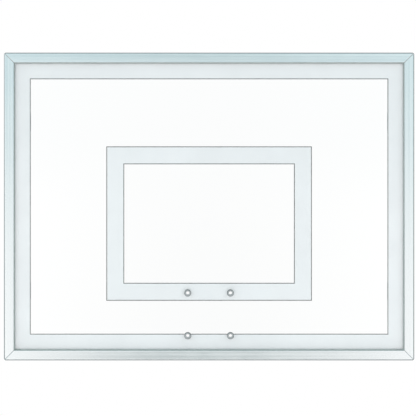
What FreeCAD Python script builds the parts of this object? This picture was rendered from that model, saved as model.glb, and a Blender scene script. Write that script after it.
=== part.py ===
"""Glass basketball backboard in a mitred aluminium frame, with rim sleeves and support lugs.

Sizes are in millimetres. +X is to the right seen from the court, +Y points back towards the support,
and +Z is up. The origin is the centre of the four support bolts, on the rear face of the lugs.
Depths are measured backwards from the front of the frame, insets inwards from its outer edge.
"""

import FreeCAD
import Part

import os
from math import acos, cos, pi, sin, sqrt, tan

from FreeCAD import Vector

# Board
board_width = 1219.2
board_height = 914.4
corner_radius = 6.0

# Frame extrusion: a lip and channel that hold the pane, and a hollow chamber behind them
face_width = 30.0
frame_wall = 3.0
chamber_depth = 18.0
front_edge_radius = 4.0
rear_edge_radius = 1.0
lip_bevel_width = 1.0
lip_bevel_depth = 0.5

# Glass pane
pane_thickness = 12.7
pane_corner_radius = 4.0
pane_arris = 0.8

# Glazing gasket: a U of rubber round the edge of the pane
gasket_leg = 2.5
gasket_base = 4.0
gasket_reveal = 2.0
gasket_tip_radius = 1.2

# Markings fired on the rear face of the pane: white stripes edged with grey keylines
film_thickness = 0.25
film_inset = 2.0
film_hole_clearance = 0.2
keyline_width = 2.4
border_margin = 77.0
target_width = 609.6
target_height = 457.2
target_stripe_width = 50.8
target_height_above_edge = 177.8

# Rim bolt holes, lined with flanged sleeves so that no bolt touches the glass
rim_spacing_x = 127.0
rim_spacing_z = 127.0
rim_height_above_edge = 73.0
sleeve_bore = 10.0
sleeve_diameter = 13.6
sleeve_clearance = 0.6
flange_diameter = 18.0
flange_thickness = 2.0
flange_edge_radius = 0.6
rim_washer_diameter = 20.4
rim_washer_thickness = 1.6
rim_washer_edge_radius = 0.5
rim_washer_clearance = 0.1
collar_diameter = 18.6
collar_length = 5.0
collar_edge_radius = 0.8
collar_clearance = 0.05

# Corner keys that join the rails through the mitres, and their button-head screws
key_leg_length = 95.0
key_clearance = 0.15
key_screw_first_inset = 45.0
key_screw_pitch = 35.0
key_screw_diameter = 6.0
key_screw_head_diameter = 10.5
key_screw_head_height = 3.3
key_screw_head_edge = 0.8
key_screw_crown_diameter = 7.4
key_screw_grip = 12.0
key_screw_socket = 4.0
key_screw_socket_depth = 1.8

# Support lugs: slotted steel plates on the back of the side rails, on tapped plates in the chambers
lug_thickness = 6.0
lug_height = 64.0
lug_edge_inset = 2.0
lug_corner_radius = 8.0
lug_end_margin = 12.0
lug_drop = 203.2
slot_inset = 50.8
slot_width = 11.0
slot_length = 24.0
nut_plate_thickness = 6.0
nut_plate_length = 70.0
nut_plate_clearance = 0.3
lug_screw_pitch = 40.0
lug_screw_diameter = 8.0
lug_screw_head_diameter = 16.0
lug_screw_head_recess = 0.3
lug_screw_head_clearance = 0.15
lug_screw_tail = 1.0
lug_screw_socket = 5.0
lug_screw_socket_depth = 2.8

# Clearances shared by all screws, and the overrun of every cut
thread_clearance = 0.05
screw_hole_clearance = 0.3
blind_hole_margin = 1.5
cut_overrun = 2.0

# Depths of the layers in the frame, from its front face
glass_front_depth = frame_wall + gasket_leg
glass_rear_depth = glass_front_depth + pane_thickness
film_rear_depth = glass_rear_depth + film_thickness
channel_rear_depth = film_rear_depth + gasket_leg
chamber_front_depth = channel_rear_depth + frame_wall
chamber_rear_depth = chamber_front_depth + chamber_depth
frame_depth = chamber_rear_depth + frame_wall

# Places along Y, with the rear of the lugs at zero
frame_rear = -lug_thickness
frame_front = frame_rear - frame_depth
glass_front = frame_front + glass_front_depth
glass_rear = frame_front + glass_rear_depth
chamber_front = frame_front + chamber_front_depth
chamber_rear = frame_front + chamber_rear_depth

# Places in the plane of the board
half_width = board_width / 2
half_height = board_height / 2
pane_inset = frame_wall + gasket_base
chamber_middle_inset = face_width / 2
target_middle_z = target_height_above_edge + target_height / 2 - half_height

SIGNS = (-1, 1)
COLUMNS = {-1: "left", 1: "right"}
CORNER_ROWS = {-1: "bottom", 1: "top"}
PAIR_ROWS = {-1: "lower", 1: "upper"}

# Sides of the frame, each a quarter turn about Y after the one before
SIDES = ("bottom", "right", "top", "left")

AXIS_Y = Vector(0, 1, 0)


def closed_wire(corners, place):
    """Closed wire through corners (u, v, radius), where place turns (u, v) into a point in space."""
    points = [place(u, v) for u, v, _ in corners]
    starts, ends, arcs = [], [], {}
    for i, (_, _, radius) in enumerate(corners):
        corner = points[i]
        back = (points[i - 1] - corner).normalize()
        ahead = (points[(i + 1) % len(points)] - corner).normalize()
        if radius == 0:
            starts.append(corner)
            ends.append(corner)
            continue
        half_angle = acos(back.dot(ahead)) / 2
        tangent = radius / tan(half_angle)
        inwards = (back + ahead).normalize()
        starts.append(corner + back * tangent)
        ends.append(corner + ahead * tangent)
        middle = corner + inwards * (radius / sin(half_angle) - radius)
        arcs[i] = Part.Arc(starts[i], middle, ends[i]).toShape()
    edges = []
    for i in range(len(points)):
        following = (i + 1) % len(points)
        if i in arcs:
            edges.append(arcs[i])
        if not ends[i].isEqual(starts[following], Part.Precision.confusion()):
            edges.append(Part.LineSegment(ends[i], starts[following]).toShape())
    return Part.Wire(edges)


def face_with_holes(outer, holes=()):
    """Flat face inside one wire and outside the others."""
    return Part.makeFace([outer, *holes], "Part::FaceMakerBullseye")


def rectangle(width, height, radius=0, middle_x=0, middle_z=0, y=0):
    """Wire of an upright rectangle at one place along Y, with rounded corners."""
    corners = [(-width / 2, -height / 2, radius), (width / 2, -height / 2, radius),
               (width / 2, height / 2, radius), (-width / 2, height / 2, radius)]
    return closed_wire(corners, lambda u, v: Vector(middle_x + u, y, middle_z + v))


def slab(outline, rear, holes=()):
    """Plate between the plane of its outline and a second plane along Y."""
    face = face_with_holes(outline, holes)
    return face.extrude(Vector(0, rear - face.BoundBox.YMin, 0))


def turned(profile, x, z):
    """Solid turned about the Y direction through (x, z) from corners (distance, y, radius)."""
    wire = closed_wire(profile, lambda distance, y: Vector(distance, y, 0))
    solid = Part.Face(wire).revolve(Vector(0, 0, 0), AXIS_Y, 360)
    return solid.translated(Vector(x, 0, z))


def drill(diameter, front, rear, x, z):
    """Round cutter along Y from one place to another."""
    return Part.makeCylinder(diameter / 2, rear - front, Vector(x, front, z), AXIS_Y)


def hexagon_cutter(across_flats, front, rear, x, z):
    """Six-sided cutter along Y for a key socket."""
    reach = across_flats / sqrt(3)
    corners = [(reach * cos(i * pi / 3), reach * sin(i * pi / 3), 0) for i in range(6)]
    outline = closed_wire(corners, lambda u, v: Vector(x + u, front, z + v))
    return slab(outline, rear)


def side_bar(section, side, reach, hollows=()):
    """Bar along one side of the frame, mitred at both ends, from a section of (inset, depth, radius)."""
    quarter_turns = SIDES.index(side)
    is_level = quarter_turns % 2 == 0
    length, span = (board_width, half_height) if is_level else (board_height, half_width)

    def place(inset, depth):
        return Vector(-length / 2, frame_front + depth, inset - span)

    face = face_with_holes(closed_wire(section, place), [closed_wire(hollow, place) for hollow in hollows])
    bar = face.extrude(Vector(length, 0, 0))
    end = length / 2
    mitres = [(-end, 0, 0), (end, 0, 0), (end - reach, reach, 0), (reach - end, reach, 0)]
    outline = closed_wire(mitres, lambda along, inset: Vector(along, frame_front, inset - span))
    bar = bar.common(slab(outline, frame_rear))
    bar.rotate(Vector(0, 0, 0), AXIS_Y, -90 * quarter_turns)
    return bar


def frame_envelope():
    """Outside of the whole frame: a block with rounded corners and a rounded front edge."""
    block = slab(rectangle(board_width, board_height, corner_radius, y=frame_front), frame_rear)
    front_edges = [edge for edge in block.Edges if edge.BoundBox.YMax < frame_front + front_edge_radius]
    return block.makeFillet(front_edge_radius, front_edges)


def rail(side, envelope, screw_holes):
    """Mitred length of the frame extrusion, drilled for the screws in its back."""
    inner = face_width - frame_wall
    section = [
        (0, 0, 0),
        (face_width - lip_bevel_width, 0, 0),
        (face_width, lip_bevel_depth, 0),
        (face_width, frame_wall, 0),
        (frame_wall, frame_wall, 0),
        (frame_wall, channel_rear_depth, 0),
        (face_width, channel_rear_depth, 0),
        (face_width, frame_depth, rear_edge_radius),
        (0, frame_depth, rear_edge_radius),
    ]
    chamber = [
        (frame_wall, chamber_front_depth, 0),
        (inner, chamber_front_depth, 0),
        (inner, chamber_rear_depth, 0),
        (frame_wall, chamber_rear_depth, 0),
    ]
    bar = side_bar(section, side, face_width, [chamber])
    return bar.common(envelope).cut(screw_holes)


def gasket(side):
    """Mitred length of the rubber channel between the pane and the frame."""
    tip = face_width + gasket_reveal
    section = [
        (frame_wall, frame_wall, 0),
        (tip, frame_wall, gasket_tip_radius),
        (tip, glass_front_depth, 0),
        (pane_inset, glass_front_depth, 0),
        (pane_inset, film_rear_depth, 0),
        (tip, film_rear_depth, 0),
        (tip, channel_rear_depth, gasket_tip_radius),
        (frame_wall, channel_rear_depth, 0),
    ]
    return side_bar(section, side, tip)


def rim_places():
    """Column, row and place of each rim bolt."""
    lower_z = rim_height_above_edge - half_height
    for row in SIGNS:
        for column in SIGNS:
            z = lower_z + rim_spacing_z * (row + 1) / 2
            yield column, row, column * rim_spacing_x / 2, z


def glass_pane():
    """Clear pane with ground edges and four holes for the rim sleeves."""
    width = board_width - 2 * pane_inset
    height = board_height - 2 * pane_inset
    pane = slab(rectangle(width, height, pane_corner_radius, y=glass_front), glass_rear)
    hole_diameter = sleeve_diameter + 2 * sleeve_clearance
    for _, _, x, z in rim_places():
        pane = pane.cut(drill(hole_diameter, glass_front - cut_overrun, glass_rear + cut_overrun, x, z))
    sharp = [edge for edge in pane.Edges if edge.BoundBox.YLength < pane_thickness / 2]
    return pane.makeChamfer(pane_arris, sharp)


def film(width, height, band, middle_z=0):
    """Thin rectangular band on the rear face of the pane, cleared round the rim washers."""
    outer = rectangle(width, height, middle_z=middle_z, y=glass_rear)
    inner = rectangle(width - 2 * band, height - 2 * band, middle_z=middle_z, y=glass_rear)
    rear = glass_rear + film_thickness
    sheet = slab(outer, rear, [inner])
    hole_diameter = rim_washer_diameter + 2 * film_hole_clearance
    holes = [drill(hole_diameter, glass_rear - cut_overrun, rear + cut_overrun, x, z)
             for _, _, x, z in rim_places()]
    return sheet.cut(Part.makeCompound(holes))


def markings():
    """White stripes and grey keylines, by node."""
    window_width = board_width - 2 * border_margin
    window_height = board_height - 2 * border_margin
    film_edge = pane_inset + film_inset
    border_band = border_margin - keyline_width / 2 - film_edge
    inner_width = target_width - 2 * target_stripe_width
    inner_height = target_height - 2 * target_stripe_width
    target_band = target_stripe_width - keyline_width
    return {
        "border_stripe": film(board_width - 2 * film_edge, board_height - 2 * film_edge, border_band),
        "border_keyline": film(window_width + keyline_width, window_height + keyline_width, keyline_width),
        "target_keyline_outer": film(target_width + keyline_width, target_height + keyline_width,
                                     keyline_width, target_middle_z),
        "target_stripe": film(target_width - keyline_width, target_height - keyline_width,
                              target_band, target_middle_z),
        "target_keyline_inner": film(inner_width + keyline_width, inner_height + keyline_width,
                                     keyline_width, target_middle_z),
    }


def rim_sleeve(x, z):
    """Flanged sleeve, put in from the front, that carries the load of one rim bolt past the glass."""
    flange_rear = glass_front - rim_washer_thickness
    flange_front = flange_rear - flange_thickness
    tail = glass_rear + rim_washer_thickness + collar_length
    profile = [
        (sleeve_bore / 2, flange_front, 0),
        (flange_diameter / 2, flange_front, flange_edge_radius),
        (flange_diameter / 2, flange_rear, 0),
        (sleeve_diameter / 2, flange_rear, 0),
        (sleeve_diameter / 2, tail, 0),
        (sleeve_bore / 2, tail, 0),
    ]
    return turned(profile, x, z)


def rim_washer(front, x, z):
    """Rubber washer between the glass and a flange or collar."""
    rear = front + rim_washer_thickness
    bore = sleeve_diameter / 2 + rim_washer_clearance
    profile = [
        (bore, front, 0),
        (rim_washer_diameter / 2, front, rim_washer_edge_radius),
        (rim_washer_diameter / 2, rear, rim_washer_edge_radius),
        (bore, rear, 0),
    ]
    return turned(profile, x, z)


def rim_collar(x, z):
    """Collar pushed onto the tail of a sleeve behind the glass."""
    front = glass_rear + rim_washer_thickness
    rear = front + collar_length
    bore = sleeve_diameter / 2 + collar_clearance
    profile = [
        (bore, front, 0),
        (collar_diameter / 2, front, 0),
        (collar_diameter / 2, rear, collar_edge_radius),
        (bore, rear, 0),
    ]
    return turned(profile, x, z)


def key_screw_places(column, row):
    """Places of the four screws in one corner key, two along each leg."""
    for step in range(2):
        inset = key_screw_first_inset + step * key_screw_pitch
        yield column * (half_width - inset), row * (half_height - chamber_middle_inset)
        yield column * (half_width - chamber_middle_inset), row * (half_height - inset)


def corner_key(column, row):
    """Angle of solid bar that slides into the chambers of two rails and spans their mitre."""
    near = frame_wall + key_clearance
    far = face_width - frame_wall - key_clearance
    corners = [(near, near, 0), (key_leg_length, near, 0), (key_leg_length, far, 0),
               (far, far, 0), (far, key_leg_length, 0), (near, key_leg_length, 0)]
    front = chamber_front + key_clearance
    rear = chamber_rear - key_clearance

    def place(inset_x, inset_z):
        return Vector(column * (half_width - inset_x), front, row * (half_height - inset_z))

    key = slab(closed_wire(corners, place), rear)
    hole_front = frame_rear - frame_wall - key_screw_grip - blind_hole_margin
    hole_diameter = key_screw_diameter + 2 * thread_clearance
    holes = [drill(hole_diameter, hole_front, rear + cut_overrun, x, z)
             for x, z in key_screw_places(column, row)]
    return key.cut(Part.makeCompound(holes))


def key_screw(x, z):
    """Button-head screw through the back of a rail into a corner key."""
    tip = frame_rear - frame_wall - key_screw_grip
    head_rear = frame_rear + key_screw_head_height
    head = key_screw_head_diameter / 2
    shank = key_screw_diameter / 2
    profile = [
        (0, tip, 0),
        (shank, tip, 0),
        (shank, frame_rear, 0),
        (head, frame_rear, 0),
        (head, frame_rear + key_screw_head_edge, 0),
        (key_screw_crown_diameter / 2, head_rear, 0),
        (0, head_rear, 0),
    ]
    floor = head_rear - key_screw_socket_depth
    socket = hexagon_cutter(key_screw_socket, floor, head_rear + cut_overrun, x, z)
    return turned(profile, x, z).cut(socket)


def lug_places():
    """Column, row and middle height of each support lug."""
    for row in SIGNS:
        for column in SIGNS:
            yield column, row, row * (half_height - lug_drop)


def lug_screw_places(column, middle_z):
    """Places of the two screws that hold one lug."""
    x = column * (half_width - chamber_middle_inset)
    for side in SIGNS:
        yield x, middle_z + side * lug_screw_pitch / 2


def support_lug(column, middle_z):
    """Steel plate with a slot for a support bolt and two countersunk holes."""
    near = lug_edge_inset
    far = slot_inset + slot_length / 2 + lug_end_margin
    middle_x = column * (half_width - (near + far) / 2)
    outline = rectangle(far - near, lug_height, lug_corner_radius, middle_x, middle_z, frame_rear)
    slot_x = column * (half_width - slot_inset)
    slot = rectangle(slot_length, slot_width, slot_width / 2, slot_x, middle_z, frame_rear)
    plate = slab(outline, 0, [slot])
    hole = lug_screw_diameter / 2 + screw_hole_clearance
    seat = lug_screw_head_diameter / 2 + lug_screw_head_clearance
    countersink = [
        (0, frame_rear - cut_overrun, 0),
        (hole, frame_rear - cut_overrun, 0),
        (hole, hole - seat - lug_screw_head_recess, 0),
        (seat, -lug_screw_head_recess, 0),
        (seat, cut_overrun, 0),
        (0, cut_overrun, 0),
    ]
    cutters = [turned(countersink, x, z) for x, z in lug_screw_places(column, middle_z)]
    return plate.cut(Part.makeCompound(cutters))


def nut_plate(column, middle_z):
    """Tapped steel plate inside the chamber, drawn against its rear wall by the lug screws."""
    width = face_width - 2 * frame_wall - 2 * nut_plate_clearance
    middle_x = column * (half_width - chamber_middle_inset)
    front = chamber_rear - nut_plate_thickness
    plate = slab(rectangle(width, nut_plate_length, 0, middle_x, middle_z, front), chamber_rear)
    hole_diameter = lug_screw_diameter + 2 * thread_clearance
    holes = [drill(hole_diameter, front - cut_overrun, chamber_rear + cut_overrun, x, z)
             for x, z in lug_screw_places(column, middle_z)]
    return plate.cut(Part.makeCompound(holes))


def lug_screw(x, z):
    """Countersunk screw from the back of a lug into the tapped plate."""
    head = lug_screw_head_diameter / 2
    shank = lug_screw_diameter / 2
    top = -lug_screw_head_recess
    tip = chamber_rear - nut_plate_thickness - lug_screw_tail
    profile = [
        (0, tip, 0),
        (shank, tip, 0),
        (shank, top + shank - head, 0),
        (head, top, 0),
        (0, top, 0),
    ]
    socket = hexagon_cutter(lug_screw_socket, top - lug_screw_socket_depth, cut_overrun, x, z)
    return turned(profile, x, z).cut(socket)


def rail_screw_holes():
    """Clearance holes through the back of the rails for every screw."""
    front = chamber_rear - cut_overrun
    rear = frame_rear + cut_overrun
    key_hole = key_screw_diameter + 2 * screw_hole_clearance
    lug_hole = lug_screw_diameter + 2 * screw_hole_clearance
    holes = []
    for row in SIGNS:
        for column in SIGNS:
            holes += [drill(key_hole, front, rear, x, z) for x, z in key_screw_places(column, row)]
    for column, _, middle_z in lug_places():
        holes += [drill(lug_hole, front, rear, x, z) for x, z in lug_screw_places(column, middle_z)]
    return Part.makeCompound(holes)


def build():
    """Every node of the backboard by name."""
    nodes = {"glass_pane": glass_pane(), **markings()}
    envelope = frame_envelope()
    screw_holes = rail_screw_holes()
    for side in SIDES:
        nodes[f"{side}_rail"] = rail(side, envelope, screw_holes)
        nodes[f"{side}_gasket"] = gasket(side)
    for row, row_name in CORNER_ROWS.items():
        for column, column_name in COLUMNS.items():
            corner = f"{row_name}_{column_name}"
            nodes[f"corner_key_{corner}"] = corner_key(column, row)
            screws = [key_screw(x, z) for x, z in key_screw_places(column, row)]
            nodes[f"corner_screws_{corner}"] = Part.makeCompound(screws)
    for column, row, x, z in rim_places():
        place = f"{PAIR_ROWS[row]}_{COLUMNS[column]}"
        nodes[f"rim_sleeve_{place}"] = rim_sleeve(x, z)
        nodes[f"rim_front_washer_{place}"] = rim_washer(glass_front - rim_washer_thickness, x, z)
        nodes[f"rim_rear_washer_{place}"] = rim_washer(glass_rear, x, z)
        nodes[f"rim_collar_{place}"] = rim_collar(x, z)
    for column, row, middle_z in lug_places():
        place = f"{PAIR_ROWS[row]}_{COLUMNS[column]}"
        nodes[f"support_lug_{place}"] = support_lug(column, middle_z)
        nodes[f"nut_plate_{place}"] = nut_plate(column, middle_z)
        screws = [lug_screw(x, z) for x, z in lug_screw_places(column, middle_z)]
        nodes[f"lug_screws_{place}"] = Part.makeCompound(screws)
    return nodes


def main():
    """Writes one STEP file per node."""
    os.makedirs("parts", exist_ok=True)
    for name, shape in build().items():
        shape.exportStep(f"parts/{name}.step")
        print(f"{name}: {len(shape.Solids)} solid, {shape.Volume:.0f} mm3, valid {shape.isValid()}")


if __name__ == "__main__":
    main()
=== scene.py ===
"""Looks of a glass basketball backboard: frame, pane, markings, rim sleeves and support lugs.

Lengths are in metres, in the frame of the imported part: +X to the right seen from the court, +Y back
towards the support, +Z up. Insets run inwards from the outer edge of the board.
"""

from __future__ import annotations

import logging
import math
from collections.abc import Iterable, Sequence
from dataclasses import dataclass, field
from enum import Enum
from functools import cache

import bmesh
import bpy
from bmesh.types import BMEdge, BMesh, BMVert
from bpy.types import Material, Node, NodeSocket as Socket, NodeTree, Object
from mathutils import Matrix, Vector

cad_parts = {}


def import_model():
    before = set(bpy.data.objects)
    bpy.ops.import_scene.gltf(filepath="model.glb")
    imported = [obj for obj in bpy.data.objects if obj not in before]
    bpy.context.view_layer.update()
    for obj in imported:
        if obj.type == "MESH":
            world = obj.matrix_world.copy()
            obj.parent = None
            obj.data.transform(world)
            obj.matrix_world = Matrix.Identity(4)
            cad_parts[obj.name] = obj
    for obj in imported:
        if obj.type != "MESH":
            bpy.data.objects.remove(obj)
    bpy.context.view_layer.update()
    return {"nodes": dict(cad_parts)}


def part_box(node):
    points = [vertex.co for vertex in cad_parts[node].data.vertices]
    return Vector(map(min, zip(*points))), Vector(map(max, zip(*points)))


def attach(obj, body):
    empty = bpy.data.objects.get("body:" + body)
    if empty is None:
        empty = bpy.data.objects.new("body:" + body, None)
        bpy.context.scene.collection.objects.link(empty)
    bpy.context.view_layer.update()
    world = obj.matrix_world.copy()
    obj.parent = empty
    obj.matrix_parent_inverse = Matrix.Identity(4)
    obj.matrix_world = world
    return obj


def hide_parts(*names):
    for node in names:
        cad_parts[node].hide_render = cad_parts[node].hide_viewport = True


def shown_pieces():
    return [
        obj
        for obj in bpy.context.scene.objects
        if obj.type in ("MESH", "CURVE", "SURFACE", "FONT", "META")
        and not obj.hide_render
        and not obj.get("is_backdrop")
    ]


log = logging.getLogger("backboard")

Colour = tuple[float, float, float]
Span = tuple[float, float]
Outline = Sequence[tuple[float, float]]
Profile = Sequence[tuple[float, float, float]]
Inputs = dict[str | int, object]

ROOT = "root"
LAY_MAP = "lay"
SEAM_MASK = "seam"
MERGE_DISTANCE = 2e-5
TURNED_MERGE_DISTANCE = 5e-6
CUT_DISTANCE = 1e-7
# These two keep points and circles from falling together.
HAIRLINE_RADIUS = 5e-6
HAIRLINE_SLACK = 1e-5
SHARP_ANGLE = math.radians(32)
EDGE_ANGLE = math.radians(60)
UPRIGHT = Matrix.Rotation(math.radians(90), 4, "X")
LEVEL_MASK = (1, 1, 0)
KEY_SIDES = 6

# Painted shade along the rails' mitre seams
SEAM_SHADE_COLOUR: Colour = (0.06, 0.065, 0.065)
BUMP_DISTANCE = 0.0001
STREAK_SCALE = 0.06
LINE_SHARE = 0.4
FULL_RANGE: Span = (0.0, 1.0)
NOISE_RANGE: Span = (0.3, 0.7)
TONE_RANGE: Span = (0.25, 0.75)


class Side(Enum):
    """Side of the board, with its outward direction as (x, z)."""

    BOTTOM = (0, -1)
    RIGHT = (1, 0)
    TOP = (0, 1)
    LEFT = (-1, 0)

    @property
    def label(self) -> str:
        """Word that the side has in node names."""
        return self.name.lower()

    @property
    def outward(self) -> Vector:
        """Direction from the middle of the board to this side."""
        return Vector((self.value[0], 0, self.value[1]))

    @property
    def along(self) -> Vector:
        """Direction along this side."""
        return Vector((abs(self.value[1]), 0, abs(self.value[0])))


class Place(Enum):
    """One of four like places, with its signs of X and Z."""

    LOWER_LEFT = (-1, -1)
    LOWER_RIGHT = (1, -1)
    UPPER_LEFT = (-1, 1)
    UPPER_RIGHT = (1, 1)

    @property
    def label(self) -> str:
        """Words that the place has in the names of paired nodes."""
        return self.name.lower()

    @property
    def corner(self) -> str:
        """Words that the place has in the names of corner nodes."""
        return self.label.replace("lower", "bottom").replace("upper", "top")

    @property
    def column_sign(self) -> int:
        """Sign of X on this side of the board."""
        return self.value[0]

    @property
    def row_sign(self) -> int:
        """Sign of Z on this half of the board."""
        return self.value[1]


class Lay(Enum):
    """How the marks of a metal finish run over a piece."""

    DRAWN_LEVEL = "along X"
    DRAWN_UPRIGHT = "along Z"
    TURNED = "in rings"


@dataclass(frozen=True)
class Box:
    """Box of a CAD node at rest."""

    low: Vector
    high: Vector

    @classmethod
    def of(cls, node: str) -> Box:
        """Box of the named node."""
        return cls(*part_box(node))

    @property
    def middle(self) -> Vector:
        """Middle of the box."""
        return (self.low + self.high) / 2

    @property
    def size(self) -> Vector:
        """Lengths of the box along X, Y and Z."""
        return self.high - self.low


def board_half() -> tuple[float, float]:
    """Half of the board's width and half of its height."""
    return -Box.of("left_rail").low.x, Box.of("top_rail").high.z


# Mesh helpers


def round_over(bm: BMesh, geom: Iterable[BMVert | BMEdge], width: float, segments: int,
               affect: str = "VERTICES") -> list[BMVert]:
    """Rounds corners or edges over and gives the new vertices."""
    made = bmesh.ops.bevel(bm, geom=list(geom), offset=width, offset_type="OFFSET", segments=segments,
                           profile=0.5, affect=affect, clamp_overlap=affect == "EDGES", material=-1)
    return made["verts"]


def section_outline(profile: Profile, segments: int = 6) -> Outline:
    """Rounds the corners of a flat section.

    Args:
        profile: Corners as (u, v, radius), in order.
        segments: Steps in each rounded corner.

    Returns:
        Points (u, v) of the rounded section, in order.
    """
    bm = bmesh.new()
    corners = [bm.verts.new((u, v, 0)) for u, v, _ in profile]
    bm.faces.new(corners)
    for corner, (_, _, radius) in zip(corners, profile):
        if radius > 0:
            round_over(bm, [corner], radius, segments)
    bm.faces.ensure_lookup_table()
    outline = [(loop.vert.co.x, loop.vert.co.y) for loop in bm.faces[0].loops]
    bm.free()
    return outline


def upright_loop(bm: BMesh, half_x: float, half_z: float, y: float, radius: float = 0.0,
                 segments: int = 8, middle: Vector = Vector()) -> list[BMEdge]:
    """Adds the edges of an upright rectangle with rounded corners.

    Args:
        bm: Mesh that gets the loop.
        half_x: Half of its width.
        half_z: Half of its height.
        y: Its place along Y.
        radius: Radius of its corners.
        segments: Steps in each rounded corner.
        middle: Its middle, of which X and Z count.

    Returns:
        The edges of the loop.
    """
    size = Matrix.Diagonal((half_x, half_z, 1, 1))
    place = Matrix.Translation((middle.x, y, middle.z)) @ UPRIGHT @ size
    verts = bmesh.ops.create_grid(bm, x_segments=1, y_segments=1, size=1.0, matrix=place)["verts"]
    face = verts[0].link_faces[0]
    if radius > 0:
        face = round_over(bm, verts, radius, segments)[0].link_faces[0]
    edges = list(face.edges)
    bmesh.ops.delete(bm, geom=[face], context="FACES_ONLY")
    return edges


def upright_circle(bm: BMesh, radius: float, middle: Vector, y: float,
                   segments: int = 64) -> list[BMEdge]:
    """Adds the edges of an upright circle.

    Args:
        bm: Mesh that gets the circle.
        radius: Its radius.
        middle: Its middle, of which X and Z count.
        y: Its place along Y.
        segments: Its number of edges.

    Returns:
        The edges of the circle.
    """
    place = Matrix.Translation((middle.x, y, middle.z)) @ UPRIGHT
    made = bmesh.ops.create_circle(bm, segments=segments, radius=radius, cap_ends=False, matrix=place)
    return list(dict.fromkeys(edge for vert in made["verts"] for edge in vert.link_edges))


def bridge(bm: BMesh, loops: Sequence[list[BMEdge]]) -> None:
    """Joins loops of edges in a row, each to the next."""
    for first, second in zip(loops, loops[1:]):
        bmesh.ops.bridge_loops(bm, edges=first + second)


def fill(bm: BMesh, edges: Iterable[BMEdge]) -> None:
    """Fills the area inside the outer loop of edges and outside the inner ones."""
    bmesh.ops.triangle_fill(bm, use_beauty=True, use_dissolve=False, edges=list(edges))


def turn_outwards(bm: BMesh) -> None:
    """Makes all faces of a mesh point outwards."""
    bmesh.ops.recalc_face_normals(bm, faces=bm.faces[:])


def thicken(bm: BMesh, depth: float) -> None:
    """Makes a flat upright sheet a closed plate.

    Args:
        bm: Mesh of the sheet.
        depth: How far the plate reaches back along Y.
    """
    made = bmesh.ops.extrude_face_region(bm, geom=bm.faces[:])["geom"]
    bmesh.ops.translate(bm, verts=[g for g in made if isinstance(g, BMVert)], vec=(0, depth, 0))
    turn_outwards(bm)


def sharp_edges(bm: BMesh) -> list[BMEdge]:
    """Edges whose two faces meet at a clear angle."""
    return [edge for edge in bm.edges if edge.is_manifold and edge.calc_face_angle(0) > EDGE_ANGLE]


def turn(bm: BMesh, profile: Profile, middle: Vector, steps: int = 72, segments: int = 4) -> None:
    """Spins a closed section about the Y direction.

    Args:
        bm: Mesh that gets the turned piece.
        profile: Corners as (distance from the axis, y, radius), in order.
        middle: Point on the axis, of which X and Z count.
        steps: Steps round the axis.
        segments: Steps in each rounded corner.
    """
    points = section_outline(profile, segments)
    verts = [bm.verts.new((middle.x + distance, y, middle.z)) for distance, y in points]
    face = bm.faces.new(verts)
    edges = list(face.edges)
    bmesh.ops.delete(bm, geom=[face], context="FACES_ONLY")
    bmesh.ops.spin(bm, geom=verts + edges, cent=(middle.x, 0, middle.z), axis=(0, 1, 0), angle=math.tau,
                   steps=steps, use_merge=True, use_duplicate=False)
    bmesh.ops.remove_doubles(bm, verts=bm.verts[:], dist=TURNED_MERGE_DISTANCE)
    turn_outwards(bm)


def lay_grain(bm: BMesh, lay: Lay, middle: Vector = Vector()) -> None:
    """Maps a piece so that U runs along the marks of its finish and V across them.

    Args:
        bm: Mesh that gets the map.
        lay: How the marks run.
        middle: Axis of a turned piece.
    """
    layer = bm.loops.layers.uv.new(LAY_MAP)
    for face in bm.faces:
        for loop in face.loops:
            place = loop.vert.co - middle
            if lay is Lay.TURNED:
                mapped = (0.0, math.hypot(place.x, place.z) - place.y)
            elif lay is Lay.DRAWN_LEVEL:
                mapped = (place.x, place.z - place.y)
            else:
                mapped = (place.z, place.x - place.y)
            loop[layer].uv = mapped


def place_mesh(bm: BMesh, name: str) -> Object:
    """Puts a mesh into the scene as an object at the origin.

    Args:
        bm: Mesh, freed here.
        name: Name of the object and of its mesh.

    Returns:
        The object.
    """
    mesh = bpy.data.meshes.new(name)
    bm.to_mesh(mesh)
    bm.free()
    placed = bpy.data.objects.new(name, mesh)
    bpy.context.scene.collection.objects.link(placed)
    return placed


# Node helpers


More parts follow.
